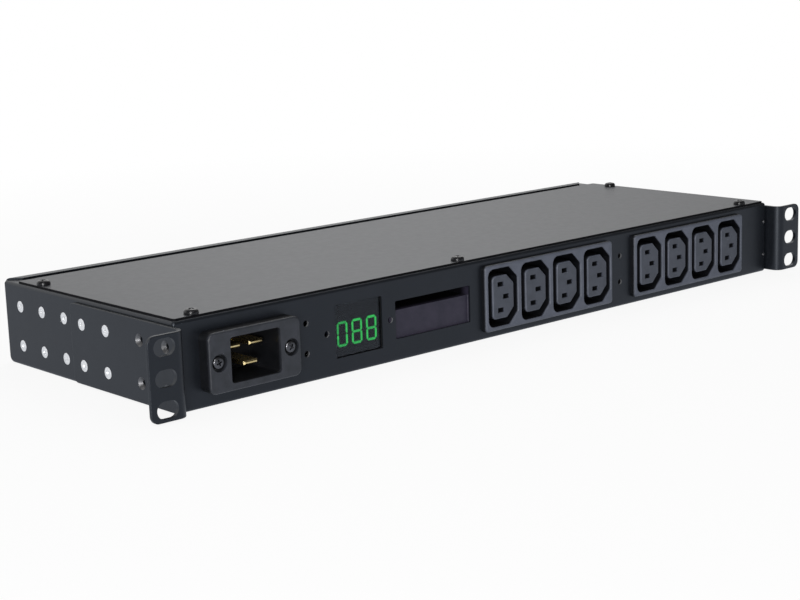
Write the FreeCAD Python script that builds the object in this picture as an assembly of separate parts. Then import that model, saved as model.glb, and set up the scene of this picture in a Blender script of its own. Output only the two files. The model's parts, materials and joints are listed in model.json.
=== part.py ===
import FreeCAD, Part
import math
import os

# Rack power distribution unit, one rack unit high, for a 19-inch rack. Millimetres.
# X runs to the right along the front, Y towards the back, Z up.
# The origin is the middle of the ears' hole pattern, on the ears' rear face,
# which bears on the rack's front rails.

V = FreeCAD.Vector

# Case and cover of folded sheet
case_width = 441.6
case_depth = 154.0
case_height = 44.0
sheet = 1.0
case_bend = 1.6
rear_bend = 3.5
return_width = 11.0
rear_lip_depth = 6.5
slide_gap = 0.1
cover_inset = 1.4
cover_corner = 1.5
cover_edge = 0.4
joggle_length = 1.6
groove_width = 4.5
tongue_gap = 0.5

# Rack ears
ear_sheet = 2.0
ear_bend = 5.0
ear_height = 40.0
ear_lift = 1.0
ear_reach = 10.0
ear_depth = 86.0
ear_flange = 20.5
ear_corner = 4.0
ear_rear_corner = 3.0
ear_edge = 0.4
slot_from_edge = 8.75
slot_length = 11.5
slot_height = 8.2
slot_pitch = 14.29
slots_per_ear = 3

# Flush screws on the two sides, and the clinch nuts behind them
flush_head = 6.0
flush_shank = 2.9
ear_screw_length = 8.0
spare_screw_length = 6.0
column_pitch = 21.3
row_gap = 20.5
ear_screw_from_panel = 76.0
open_hole_from_panel = 25.5
spare_screw_from_back = 15.7
ear_columns = 2
spare_columns = 3
side_nut = 5.2
side_nut_height = 3.0
screw_clearance = 0.2
thread_gap = 0.05

# Pan-head screws of the cover, on the middle line of the case's return flanges
cover_head = 7.0
cover_head_height = 2.5
cover_head_round = 1.5
cover_shank = 3.4
cover_screw_length = 8.0
cover_nut = 7.6
cover_nut_height = 3.0
cover_screw_left = 14.0
cover_screw_right = 19.7
cover_screw_middle = 182.0
cover_screw_rear = 122.5

# Rivets that close the tray's front corners
rivet_head = 2.0
rivet_head_height = 0.6
rivet_head_round = 0.4
rivet_shank = 1.6
rivet_inset = 2.2

# Power inlet with three flat blades
front_row_height = 21.8
inlet_margin = 13.2
bezel_end = 5.6
bezel_rim = 3.5
bezel_depth = 8.0
bezel_corner = 3.5
bezel_edge = 1.0
inlet_wall = 2.0
inlet_floor = 5.0
inlet_cavity_width = 28.8
inlet_cavity_height = 21.8
inlet_cavity_depth = 24.0
inlet_cavity_corner = 1.6
inlet_screw_margin = 6.4
inlet_screw_head = 6.2
inlet_screw_head_height = 1.8
inlet_screw_head_round = 1.1
inlet_screw_shank = 2.9
inlet_screw_length = 15.0
inlet_counterbore = 8.4
inlet_counterbore_depth = 2.0
inlet_nut = 6.4
inlet_nut_height = 2.4
blade_width = 8.0
blade_thickness = 2.0
blade_gap = 13.0
blade_row_gap = 8.0
blade_bevel = 0.7
line_blade_setback = 8.4
earth_blade_setback = 4.4

# Outlet blocks, four outlets in each moulding
gangs = 4
gang_pitch = 24.83
recess_width = 22.0
recess_height = 31.2
recess_depth = 17.0
recess_round = 4.0
recess_chamfer = 6.2
recess_bevel = 0.4
nose_width = 16.0
nose_height = 23.4
nose_round = 2.6
nose_chamfer = 5.2
nose_edge = 1.0
contact_gap = 14.0
contact_offset = 2.0
contact_slot_width = 4.8
contact_slot_height = 2.6
contact_face = 3.0
chamber_width = 5.2
chamber_height = 4.0
block_rim = 2.25
block_height = 35.8
block_proud = 3.2
block_depth = 22.0
block_corner = 2.2
block_edge = 1.5
body_inset = 1.3
snap_reach = 1.0
snap_length = 4.0
snap_height = 12.0
cutout_clearance = 0.3
bank_margin = 27.3
bank_space = 18.8

# Copper strips behind the outlets, and their push-on tabs
strip_thickness = 1.0
strip_height = 5.0
leaf_thickness = 0.5
leaf_width = 4.0
leaf_opening = 2.2
leaf_setback = 5.0
tab_width = 6.3
tab_thickness = 0.8
tab_length = 8.0
feed_tab_from_middle = 40.0
meter_tab_from_feed = 12.0

# Small open holes in the front
panel_hole = 3.2
pair_hole_gap = 15.0
pair_hole_from_inlet = 36.0
display_hole_gap = 41.2

# Display: gasket, window, three-digit module and its board
inlet_to_display = 69.3
window_width = 30.2
window_height = 26.6
window_corner = 0.8
lens_overlap = 2.5
lens_thickness = 1.0
gasket_thickness = 0.3
display_drop = 2.1
module_lap = 1.0
module_depth = 7.0
digit_width = 6.8
digit_height = 12.6
digit_pitch = 9.4
stroke = 1.2
stroke_gap = 0.1
segment_depth = 0.4
board_thickness = 1.6
display_board_width = 42.0
display_board_margin = 4.0

# Card bay: a moulded pocket with a card slot along its top
display_to_bay = 50.05
bay_width = 52.2
bay_height = 19.6
bay_middle_height = 21.1
bay_pocket_depth = 1.8
bay_round = 0.6
bay_plate = 1.6
bay_wall = 1.2
bay_rim = 1.8
card_slot_height = 5.2
card_slot_depth = 44.0

# Meter board on four posts, and what stands on it
post_height = 6.0
post_diameter = 6.0
post_inset = 5.0
board_screw_head = 5.0
board_screw_head_height = 1.8
board_screw_head_round = 0.6
board_screw_shank = 2.4
board_screw_length = 5.0
meter_board_width = 54.0
meter_board_length = 100.0
header_width = 24.0
header_depth = 3.5
header_height = 6.0
transformer_diameter = 24.0
transformer_bore = 9.0
transformer_thickness = 10.0
transformer_foot = 16.0
transformer_from_panel = 53.0
transformer_shift = 5.0
power_width = 36.0
power_length = 28.0
power_height = 16.0
power_from_panel = 80.0
capacitor_diameter = 12.5
capacitor_height = 20.0
capacitor_from_panel = 28.0
capacitor_shift = 18.0
terminal_width = 10.0
terminal_length = 16.0
terminal_height = 11.0
terminal_shift = 17.0
terminal_from_panel = 27.0
terminal_pitch = 6.0
terminal_hole_depth = 5.0

# Leads, push-on sleeves and the earth stud
lead_diameter = 4.2
meter_lead_diameter = 2.2
lead_bend = 6.0
sleeve_width = 8.4
sleeve_height = 3.6
sleeve_length = 16.0
sleeve_gap = 0.5
sleeve_fit = 0.1
lead_entry = 12.0
lead_slope = 30.0
link_back = 13.0
meter_lead_rise = 6.0
meter_lead_slope = 12.0
meter_lead_step = 6.0
meter_lead_back = 18.0
meter_lead_inset = 4.0
earth_lead_back = 18.0
neutral_from_panel = 69.0
bond_from_panel = 119.0
bond_slope = 24.0
bond_step = 12.0
stud_diameter = 4.0
stud_height = 8.0
stud_nut = 7.0
stud_nut_height = 3.2
stud_from_panel = 110.0
stud_shift = 16.0
ring_diameter = 8.0
ring_thickness = 0.8
ring_tongue = 8.0
ring_lead_lap = 2.5

# Places that follow from the sizes above
half = case_width / 2
front = ear_reach - ear_sheet
back = front + case_depth
floor = -ear_height / 2 - ear_lift
deck = floor + sheet
roof = floor + case_height
shelf = roof - sheet
row_z = floor + front_row_height
inlet_screw_gap = inlet_cavity_width + 2 * inlet_screw_margin
bezel_width = inlet_screw_gap + 2 * bezel_end
bezel_height = inlet_cavity_height + 2 * bezel_rim
inlet_body_width = inlet_cavity_width + 2 * inlet_wall
inlet_body_height = inlet_cavity_height + 2 * inlet_wall
inlet_x = -half + inlet_margin + bezel_width / 2
inlet_face = front - bezel_depth
inlet_cavity_end = inlet_face + inlet_cavity_depth
inlet_back = inlet_cavity_end + inlet_floor
display_x = inlet_x + inlet_to_display
bay_x = display_x + display_to_bay
bay_z = floor + bay_middle_height
block_width = (gangs - 1) * gang_pitch + recess_width + 2 * block_rim
body_width = block_width - 2 * body_inset
body_height = block_height - 2 * body_inset
block_face = front - block_proud
block_back = front + block_depth
right_bank_x = half - bank_margin - block_width / 2
left_bank_x = right_bank_x - block_width - bank_space
module_width = window_width + 2 * module_lap
module_height = window_height + 2 * module_lap
lens_width = window_width + 2 * lens_overlap
lens_height = window_height + 2 * lens_overlap
gasket_y = front + sheet
lens_y = gasket_y + gasket_thickness
module_y = lens_y + lens_thickness
display_board_y = module_y + module_depth
meter_board_y = display_board_y + board_thickness
meter_board_z = deck + post_height
meter_board_top = meter_board_z + board_thickness
display_z = row_z - display_drop
line_z = row_z + blade_row_gap / 2
earth_z = row_z - blade_row_gap / 2
terminal_right = display_x + terminal_shift + terminal_width / 2
terminal_wire_z = meter_board_top + terminal_height / 2
strip_y = block_back - 2 * strip_thickness
strip_tab_y = strip_y + strip_thickness
live_row = row_z + contact_gap / 2
neutral_row = row_z - contact_gap / 2
stud_x = inlet_x + stud_shift
stud_y = front + stud_from_panel
tiny = 1e-4


def box(low, high):
    """Box between two opposite corners."""
    return Part.makeBox(high[0] - low[0], high[1] - low[1], high[2] - low[2], V(*low))


def level_box(x, width, near, far, z, height):
    """Box around a line that runs from front to back at (x, z)."""
    return box((x - width / 2, near, z - height / 2), (x + width / 2, far, z + height / 2))


def folded_box(low, high, radius, rear_radius):
    """Box rounded as a folded sheet is, with a larger bend along its rear lower edge."""
    plain = box(low, high)
    plain = soften(plain, rear_radius,
                   lambda middle: abs(middle.y - high[1]) < tiny and abs(middle.z - low[2]) < tiny)
    smooth = [edge for edge in plain.Edges if abs(edge.Length - (high[0] - low[0])) < tiny
              and abs(edge.CenterOfMass.y - high[1]) + abs(edge.CenterOfMass.z - low[2]) < 2 * rear_radius]
    sharp = [edge for edge in plain.Edges if not any(edge.isSame(other) for other in smooth)]
    return plain.makeFillet(radius, sharp)


def on_front(x, y, z):
    """Places an outline upright, facing the front."""
    return lambda u, v: V(x + u, y, z + v)


def on_floor(x, y, z):
    """Places an outline flat, seen from above."""
    return lambda u, v: V(x + u, y + v, z)


def outline(corners, place):
    """Closed wire through corners of (u, v, radius), each rounded by its radius."""
    entries = []
    middles = []
    exits = []
    for index, (u, v, radius) in enumerate(corners):
        here = V(u, v, 0)
        before = V(corners[index - 1][0], corners[index - 1][1], 0) - here
        after = V(corners[(index + 1) % len(corners)][0], corners[(index + 1) % len(corners)][1], 0) - here
        before.normalize()
        after.normalize()
        half_angle = before.getAngle(after) / 2
        reach = radius / math.tan(half_angle)
        bisector = before + after
        bisector.normalize()
        entries.append(here + before * reach)
        middles.append(here + bisector * (radius / math.sin(half_angle) - radius))
        exits.append(here + after * reach)
    edges = []
    for index, (u, v, radius) in enumerate(corners):
        start = place(exits[index - 1].x, exits[index - 1].y)
        entry = place(entries[index].x, entries[index].y)
        if (entry - start).Length > tiny:
            edges.append(Part.makeLine(start, entry))
        if radius > 0:
            middle = place(middles[index].x, middles[index].y)
            leave = place(exits[index].x, exits[index].y)
            edges.append(Part.Arc(entry, middle, leave).toShape())
    return Part.Wire(edges)


def prism(corners, place, push):
    """Solid swept from an outline along the vector push."""
    return Part.Face(outline(corners, place)).extrude(push)


def rounded_rectangle(width, height, radius):
    """Corners of a centred rectangle with one radius."""
    u = width / 2
    v = height / 2
    return [(-u, -v, radius), (u, -v, radius), (u, v, radius), (-u, v, radius)]


def socket_outline(width, height, radius, chamfer):
    """Outlet outline: rounded on the left, bevelled on the earth contact's side."""
    u = width / 2
    v = height / 2
    ease = radius / 2
    return [(-u, -v, radius), (u - chamfer, -v, ease), (u, chamfer - v, ease),
            (u, v - chamfer, ease), (u - chamfer, v, ease), (-u, v, radius)]


def angle_section(leg_u, leg_v, thickness, radius):
    """Corners of a sheet bent once at a right angle, with the outside of the bend at (0, 0)."""
    return [(0, 0, radius), (leg_u, 0, 0), (leg_u, thickness, 0),
            (thickness, thickness, radius - thickness), (thickness, leg_v, 0), (0, leg_v, 0)]


def soften(shape, radius, wanted):
    """Rounds the edges whose middle point passes the test wanted."""
    return shape.makeFillet(radius, [edge for edge in shape.Edges if wanted(edge.CenterOfMass)])


def bar(start, along, diameter, length):
    """Round bar from a start point along a unit vector."""
    return Part.makeCylinder(diameter / 2, length, start, along)


def flush_screw(start, along, length, growth):
    """Countersunk screw with its head's face at start; growth widens it into the cutter for its seat."""
    head = flush_head / 2 + growth
    shank = flush_shank / 2 + growth
    taper = Part.makeCone(head, shank, head - shank, start, along)
    return taper.fuse(Part.makeCylinder(shank, length, start, along)).removeSplitter()


def pan_screw(seat, along, head, head_height, head_round, shank, length):
    """Screw with a domed head that stands on seat, with its shank along a unit vector."""
    top = seat - along * head_height
    dome = bar(seat, along * -1, head, head_height)
    dome = soften(dome, head_round, lambda middle: (middle - top).Length < tiny)
    return dome.fuse(bar(seat, along, shank, length)).removeSplitter()


def nut(start, along, diameter, height, bore):
    """Round nut from a start face along a unit vector."""
    return bar(start, along, diameter, height).cut(bar(start, along, bore, height))


def column_places(first, count, step):
    """Two rows of screw places on a side, as (y, z), from the first column on."""
    return [(first + index * step, level) for index in range(count) for level in (-row_gap / 2, row_gap / 2)]


def ear_screw_places():
    return column_places(front + ear_screw_from_panel, ear_columns, -column_pitch)


def open_hole_places():
    return column_places(front + open_hole_from_panel, ear_columns, -column_pitch)


def spare_screw_places():
    return column_places(back - spare_screw_from_back, spare_columns, -column_pitch)


def cover_screw_places():
    """Three screws along the front flange, and one on each side flange."""
    front_y = front + return_width / 2
    side_x = half - return_width / 2
    rear_y = front + cover_screw_rear
    return [(-half + cover_screw_left, front_y), (-half + cover_screw_middle, front_y),
            (half - cover_screw_right, front_y), (-side_x, rear_y), (side_x, rear_y)]


def rivet_places():
    """Rivets at the four corners of the front, on the rows of the side screws."""
    reach = half - rivet_inset
    return [(side * reach, level) for side in (-1, 1) for level in (-row_gap / 2, row_gap / 2)]


def inlet_screw_places():
    return [inlet_x - inlet_screw_gap / 2, inlet_x + inlet_screw_gap / 2]


def gang_places(bank_x):
    """Middles of the outlets of one block."""
    first = bank_x - (gangs - 1) * gang_pitch / 2
    return [first + index * gang_pitch for index in range(gangs)]


def contact_rows():
    """Height and sideways offset of the live, neutral and earth contacts of an outlet."""
    return {"live": (live_row, -contact_offset), "neutral": (neutral_row, -contact_offset),
            "earth": (row_z, contact_offset)}


def post_places():
    """Corners where the meter board stands on its posts."""
    reach = meter_board_width / 2 - post_inset
    near = meter_board_y + post_inset
    far = meter_board_y + meter_board_length - post_inset
    return [(display_x + side * reach, y) for side in (-1, 1) for y in (near, far)]


def make_case():
    """Folded tray with return flanges on three sides and a lip along the rear that holds the cover down."""
    outside = folded_box((-half, front, floor), (half, back, shelf), case_bend, rear_bend)
    inside = folded_box((sheet - half, front + sheet, deck), (half - sheet, back - sheet, shelf - sheet),
                        case_bend - sheet, rear_bend - sheet)
    mouth = box((return_width - half, front + return_width, shelf - case_bend),
                (half - return_width, back - sheet, roof))
    lip_half = half - case_bend
    upright = roof - shelf + 2 * case_bend
    lip = prism(angle_section(rear_lip_depth, upright, sheet, case_bend),
                lambda u, v: V(-lip_half, back - u, roof - v), V(2 * lip_half, 0, 0))
    for side in (-1, 1):
        corner = [(side * lip_half, -rear_lip_depth, 0), (side * lip_half, 0, 0),
                  (side * (lip_half - rear_lip_depth), -rear_lip_depth, 0)]
        lip = lip.cut(prism(corner, on_floor(0, back, roof - sheet), V(0, 0, sheet)))
    tray = outside.cut(inside).cut(mouth).fuse(lip).removeSplitter()
    return tray.cut(panel_cutters() + side_cutters() + flange_cutters())


def panel_cutters():
    """Openings in the front of the case."""
    through = V(0, sheet, 0)
    cutters = [prism(rounded_rectangle(inlet_body_width + 2 * cutout_clearance,
                                       inlet_body_height + 2 * cutout_clearance,
                                       inlet_cavity_corner), on_front(inlet_x, front, row_z), through),
               prism(rounded_rectangle(window_width, window_height, window_corner),
                     on_front(display_x, front, row_z), through),
               prism(rounded_rectangle(bay_width, bay_height, window_corner),
                     on_front(bay_x, front, bay_z), through)]
    for bank_x in (left_bank_x, right_bank_x):
        cutters.append(prism(rounded_rectangle(body_width + 2 * cutout_clearance,
                                               body_height + 2 * cutout_clearance, block_corner),
                             on_front(bank_x, front, row_z), through))
    for x in inlet_screw_places():
        cutters.append(bar(V(x, front, row_z), V(0, 1, 0), inlet_screw_shank + 2 * screw_clearance, sheet))
    for x in (inlet_x + pair_hole_from_inlet, (left_bank_x + right_bank_x) / 2):
        for z in (row_z - pair_hole_gap / 2, row_z + pair_hole_gap / 2):
            cutters.append(bar(V(x, front, z), V(0, 1, 0), panel_hole, sheet))
    for side in (-1, 1):
        place = V(display_x + side * display_hole_gap / 2, front, row_z)
        cutters.append(bar(place, V(0, 1, 0), panel_hole, sheet))
    for x, z in rivet_places():
        cutters.append(bar(V(x, front, z), V(0, 1, 0), rivet_shank + 2 * thread_gap, sheet))
    return cutters


def side_cutters():
    """Screw holes in the two sides of the case."""
    cutters = []
    for side in (-1, 1):
        inward = V(-side, 0, 0)
        for y, z in ear_screw_places() + open_hole_places():
            cutters.append(bar(V(side * half, y, z), inward, flush_shank + 2 * screw_clearance, sheet))
        for y, z in spare_screw_places():
            cutters.append(flush_screw(V(side * half, y, z), inward, sheet, thread_gap))
    return cutters


def flange_cutters():
    """Screw holes in the return flanges under the cover."""
    return [bar(V(x, y, shelf), V(0, 0, -1), cover_shank + 2 * screw_clearance, sheet)
            for x, y in cover_screw_places()]


def make_cover():
    """Flat cover screwed to the flanges, with a stepped tongue along its rear that tucks under the lip."""
    near = front + cover_inset
    bend = back - rear_lip_depth - groove_width - joggle_length
    low_bend = bend + joggle_length
    tip = back - sheet - tongue_gap
    drop = sheet + slide_gap
    plate = prism(rounded_rectangle(case_width - 2 * cover_inset, bend - near, cover_corner),
                  on_floor(0, (near + bend) / 2, shelf), V(0, 0, sheet))
    plate = soften(plate, cover_edge, lambda middle: abs(middle.z - roof) < tiny)
    start = bend - cover_corner
    step = [(start, 0, 0), (bend, 0, 0), (low_bend, -drop, 0), (tip, -drop, 0),
            (tip, sheet - drop, 0), (low_bend, sheet - drop, 0), (bend, sheet, 0), (start, sheet, 0)]
    tongue_half = half - return_width - tongue_gap
    tongue = prism(step, lambda u, v: V(-tongue_half, u, shelf + v), V(2 * tongue_half, 0, 0))
    holes = [bar(V(x, y, shelf), V(0, 0, 1), cover_shank + 2 * screw_clearance, sheet)
             for x, y in cover_screw_places()]
    return plate.fuse(tongue).removeSplitter().cut(holes)


def on_ear_rim(middle):
    """Tells the edges around the ear's two skins from those of its bend and those across its thickness."""
    across = abs(middle.y + ear_sheet / 2) < tiny or abs(middle.x - half - ear_sheet / 2) < tiny
    near_end = abs(middle.z) > ear_height / 2 - ear_corner
    near_tip = middle.x > half + ear_flange - ear_corner or middle.y > front + ear_depth - ear_rear_corner
    return (near_end or near_tip) and not across


def make_right_ear():
    """Bent bracket on the case's right side, with three slots for the rack and two sets of screw holes."""
    outer = half + ear_flange
    low = -ear_height / 2
    rear = front + ear_depth
    ear = prism(angle_section(ear_flange, ear_reach + ear_depth, ear_sheet, ear_bend),
                lambda u, v: V(half + u, v - ear_sheet, low), V(0, 0, ear_height))
    ear = soften(ear, ear_corner,
                 lambda middle: abs(middle.x - outer) < tiny and abs(abs(middle.z) + low) < tiny)
    ear = soften(ear, ear_rear_corner,
                 lambda middle: abs(middle.y - rear) < tiny and abs(abs(middle.z) + low) < tiny)
    ear = soften(ear, ear_edge, on_ear_rim)
    cutters = []
    for index in range(slots_per_ear):
        z = (index - (slots_per_ear - 1) / 2) * slot_pitch
        cutters.append(prism(rounded_rectangle(slot_length, slot_height, slot_height / 2),
                             on_front(outer - slot_from_edge, -ear_sheet, z), V(0, ear_sheet, 0)))
    for y, z in ear_screw_places() + open_hole_places():
        cutters.append(flush_screw(V(half + ear_sheet, y, z), V(-1, 0, 0), ear_sheet, thread_gap))
    return ear.cut(cutters)


def mirrored(shape):
    """The same piece for the left side."""
    return shape.mirror(V(0, 0, 0), V(1, 0, 0))


def make_ear_screws():
    """Flush screws that hold the two ears."""
    return [flush_screw(V(side * (half + ear_sheet), y, z), V(-side, 0, 0), ear_screw_length, 0)
            for side in (-1, 1) for y, z in ear_screw_places()]


def make_spare_screws():
    """Flush screws in the rear ear places of both sides."""
    return [flush_screw(V(side * half, y, z), V(-side, 0, 0), spare_screw_length, 0)
            for side in (-1, 1) for y, z in spare_screw_places()]


def make_side_nuts():
    """Clinch nuts on the inner faces of the two sides."""
    nuts = []
    for side in (-1, 1):
        inward = V(-side, 0, 0)
        for y, z in ear_screw_places() + open_hole_places() + spare_screw_places():
            blank = bar(V(side * (half - sheet), y, z), inward, side_nut, side_nut_height)
            seat = flush_screw(V(side * half, y, z), inward, sheet + side_nut_height, thread_gap)
            nuts.append(blank.cut(seat))
    return nuts


def make_cover_screws():
    """Black pan-head screws of the cover."""
    return [pan_screw(V(x, y, roof), V(0, 0, -1), cover_head, cover_head_height, cover_head_round,
                      cover_shank, cover_screw_length) for x, y in cover_screw_places()]


def make_cover_nuts():
    """Clinch nuts under the return flanges."""
    return [nut(V(x, y, shelf - sheet), V(0, 0, -1), cover_nut, cover_nut_height,
                cover_shank + 2 * thread_gap) for x, y in cover_screw_places()]


def make_rivets():
    """Domed rivets through the front."""
    return [pan_screw(V(x, front, z), V(0, 1, 0), rivet_head, rivet_head_height, rivet_head_round,
                      rivet_shank, sheet) for x, z in rivet_places()]


def make_blade(x, z, setback):
    """Flat inlet blade with a bevelled tip and a push-on tab behind the housing."""
    tip = inlet_face + setback
    blade = level_box(x, blade_width, tip, inlet_back, z, blade_thickness)
    blade = blade.makeChamfer(blade_bevel, [e for e in blade.Edges if abs(e.CenterOfMass.y - tip) < tiny])
    return blade.fuse(make_tab(x, z, inlet_back)).removeSplitter()


def make_tab(x, z, y):
    """Push-on tab that stands out backwards from y."""
    return level_box(x, tab_width, y, y + tab_length, z, tab_thickness)


def make_inlet(blades):
    """Moulded inlet: a deep bezel in front of the panel and a body behind it."""
    bezel = prism(rounded_rectangle(bezel_width, bezel_height, bezel_corner),
                  on_front(inlet_x, inlet_face, row_z), V(0, bezel_depth, 0))
    bezel = soften(bezel, bezel_edge, lambda middle: abs(middle.y - inlet_face) < tiny)
    body = prism(rounded_rectangle(inlet_body_width, inlet_body_height, inlet_cavity_corner),
                 on_front(inlet_x, front, row_z), V(0, inlet_back - front, 0))
    cavity = prism(rounded_rectangle(inlet_cavity_width, inlet_cavity_height, inlet_cavity_corner),
                   on_front(inlet_x, inlet_face, row_z), V(0, inlet_cavity_depth, 0))
    cutters = [cavity] + blades
    for x in inlet_screw_places():
        start = V(x, inlet_face, row_z)
        cutters.append(bar(start, V(0, 1, 0), inlet_counterbore, inlet_counterbore_depth))
        cutters.append(bar(start, V(0, 1, 0), inlet_screw_shank + 2 * screw_clearance, bezel_depth))
    return bezel.fuse(body).removeSplitter().cut(cutters)


def make_inlet_screws():
    """Domed screws in the bezel's counterbores."""
    seat = inlet_face + inlet_counterbore_depth
    return [pan_screw(V(x, seat, row_z), V(0, 1, 0), inlet_screw_head, inlet_screw_head_height,
                      inlet_screw_head_round, inlet_screw_shank, inlet_screw_length)
            for x in inlet_screw_places()]


def make_inlet_nuts():
    """Nuts behind the panel on the inlet's screws."""
    return [nut(V(x, front + sheet, row_z), V(0, 1, 0), inlet_nut, inlet_nut_height,
                inlet_screw_shank + 2 * thread_gap) for x in inlet_screw_places()]


def make_mouth(x):
    """Cutter that bevels the mouth of an outlet's recess."""
    wide = socket_outline(recess_width + 2 * recess_bevel, recess_height + 2 * recess_bevel,
                          recess_round + recess_bevel, recess_chamfer + (2 - math.sqrt(2)) * recess_bevel)
    deep = socket_outline(recess_width, recess_height, recess_round, recess_chamfer)
    return Part.makeLoft([outline(wide, on_front(x, block_face, row_z)),
                          outline(deep, on_front(x, block_face + recess_bevel, row_z))], True, True)


def make_outlet_block(bank_x):
    """Four-outlet moulding: recesses around bevelled noses, contact slots, and strip grooves at the rear."""
    flange = prism(rounded_rectangle(block_width, block_height, block_corner),
                   on_front(bank_x, block_face, row_z), V(0, block_proud, 0))
    flange = soften(flange, block_edge, lambda middle: abs(middle.y - block_face) < tiny)
    body_half = body_width / 2
    body = prism(rounded_rectangle(body_width, body_height, block_corner),
                 on_front(bank_x, front, row_z), V(0, block_depth, 0))
    moulding = flange.fuse(body)
    for side in (-1, 1):
        lug_y = front + sheet + slide_gap
        lug = [(side * body_half, lug_y, 0), (side * (body_half + snap_reach), lug_y, 0),
               (side * body_half, lug_y + snap_length, 0)]
        here = on_floor(bank_x, 0, row_z - snap_height / 2)
        moulding = moulding.fuse(prism(lug, here, V(0, 0, snap_height)))
    recesses = []
    noses = []
    slots = []
    for x in gang_places(bank_x):
        here = on_front(x, block_face, row_z)
        recesses.append(prism(socket_outline(recess_width, recess_height, recess_round, recess_chamfer),
                              here, V(0, recess_depth, 0)))
        recesses.append(make_mouth(x))
        nose = prism(socket_outline(nose_width, nose_height, nose_round, nose_chamfer),
                     here, V(0, recess_depth, 0))
        noses.append(soften(nose, nose_edge, lambda middle: abs(middle.y - block_face) < tiny))
        for z, offset in contact_rows().values():
            slots.append(level_box(x + offset, contact_slot_width, block_face, block_back,
                                   z, contact_slot_height))
            slots.append(level_box(x + offset, chamber_width, block_face + contact_face, block_back,
                                   z, chamber_height))
    for z, offset in contact_rows().values():
        slots.append(level_box(bank_x, body_width - 2 * block_rim, strip_y, block_back,
                               z, strip_height + 2 * screw_clearance))
    return moulding.cut(recesses).multiFuse(noses).removeSplitter().cut(slots)


def make_strip(bank_x, row, tabs):
    """Copper strip that joins one row of contacts, with sprung leaves in each slot and push-on tabs."""
    z, offset = contact_rows()[row]
    reach = max(feed_tab_from_middle + tab_width / 2, (gangs - 1) * gang_pitch / 2 + leaf_width)
    pieces = [level_box(bank_x, 2 * reach, strip_y, strip_tab_y, z, strip_height)]
    for x in gang_places(bank_x):
        for side in (-1, 1):
            level = z + side * (leaf_opening + leaf_thickness) / 2
            pieces.append(level_box(x + offset, leaf_width, block_face + leaf_setback, strip_y,
                                    level, leaf_thickness))
    for x in tabs:
        pieces.append(make_tab(x, z, strip_tab_y))
    return pieces[0].multiFuse(pieces[1:]).removeSplitter()


def make_lens():
    """Tinted window behind the panel's display opening."""
    return prism(rounded_rectangle(lens_width, lens_height, window_corner),
                 on_front(display_x, lens_y, row_z), V(0, lens_thickness, 0))


def make_gasket():
    """Thin frame that bonds the window to the panel."""
    push = V(0, gasket_thickness, 0)
    here = on_front(display_x, gasket_y, row_z)
    frame = prism(rounded_rectangle(lens_width, lens_height, window_corner), here, push)
    return frame.cut(prism(rounded_rectangle(window_width, window_height, window_corner), here, push))


def make_segment(x, z, length, upright):
    """One bar of a digit, pointed at both ends, let into the module's face."""
    u = length / 2 - stroke_gap
    v = stroke / 2
    corners = [(-u, 0, 0), (v - u, -v, 0), (u - v, -v, 0), (u, 0, 0), (u - v, v, 0), (v - u, v, 0)]
    if upright:
        place = lambda along, across: V(x + across, module_y, z + along)
    else:
        place = on_front(x, module_y, z)
    return prism(corners, place, V(0, segment_depth, 0))


def make_digit(x):
    """The seven bars of a digit; the last one is the middle bar."""
    wide = digit_width - stroke
    tall = (digit_height - stroke) / 2
    bars = [make_segment(x, display_z + level, wide, False) for level in (-tall, tall)]
    for side in (-1, 1):
        for level in (-tall / 2, tall / 2):
            bars.append(make_segment(x + side * wide / 2, display_z + level, tall, True))
    bars.append(make_segment(x, display_z, wide, False))
    return bars


def make_digits():
    """Lit bars of a reading of 0 8 8, and the dark middle bar of the nought."""
    noughts = make_digit(display_x - digit_pitch)
    eights = make_digit(display_x) + make_digit(display_x + digit_pitch)
    return noughts[:-1] + eights, noughts[-1:]


def make_display_module(bars):
    """Moulded three-digit module with pockets for its bars."""
    return level_box(display_x, module_width, module_y, display_board_y, row_z, module_height).cut(bars)


def make_display_board():
    """Upright board behind the module, soldered to the meter board's front edge."""
    top = row_z + module_height / 2 + display_board_margin
    return box((display_x - display_board_width / 2, display_board_y, meter_board_z),
               (display_x + display_board_width / 2, meter_board_y, top))


def make_bay():
    """Moulded card bay behind the panel: a shallow pocket, and a card slot above its plate."""
    inner = bay_width / 2
    low = bay_z - bay_height / 2
    high = bay_z + bay_height / 2
    near = front + sheet
    plate_front = front + bay_pocket_depth
    plate_back = plate_front + bay_plate
    far = near + card_slot_depth
    slot_low = high - card_slot_height
    grow = bay_wall + bay_rim
    rim = box((bay_x - inner - grow, near, low - grow), (bay_x + inner + grow, near + bay_wall, high + grow))
    cup = box((bay_x - inner - bay_wall, near, low - bay_wall),
              (bay_x + inner + bay_wall, plate_back, high + bay_wall))
    tunnel = box((bay_x - inner - bay_wall, near, slot_low - bay_wall),
                 (bay_x + inner + bay_wall, far + bay_wall, high + bay_wall))
    pocket = box((bay_x - inner, near, low), (bay_x + inner, plate_front, high))
    pocket = soften(pocket, bay_round,
                    lambda middle: abs(middle.y - plate_front) < tiny and middle.z < slot_low)
    card_slot = box((bay_x - inner, near, slot_low), (bay_x + inner, far, high))
    return rim.multiFuse([cup, tunnel]).removeSplitter().cut([pocket, card_slot])


def make_meter_board():
    """Level board on four posts behind the display."""
    board = box((display_x - meter_board_width / 2, meter_board_y, meter_board_z),
                (display_x + meter_board_width / 2, meter_board_y + meter_board_length, meter_board_top))
    holes = [bar(V(x, y, meter_board_z), V(0, 0, 1), board_screw_shank + 2 * screw_clearance, board_thickness)
             for x, y in post_places()]
    return board.cut(holes)


def make_posts():
    """Tapped posts clinched to the case's floor."""
    return [nut(V(x, y, deck), V(0, 0, 1), post_diameter, post_height, board_screw_shank + 2 * thread_gap)
            for x, y in post_places()]


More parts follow.
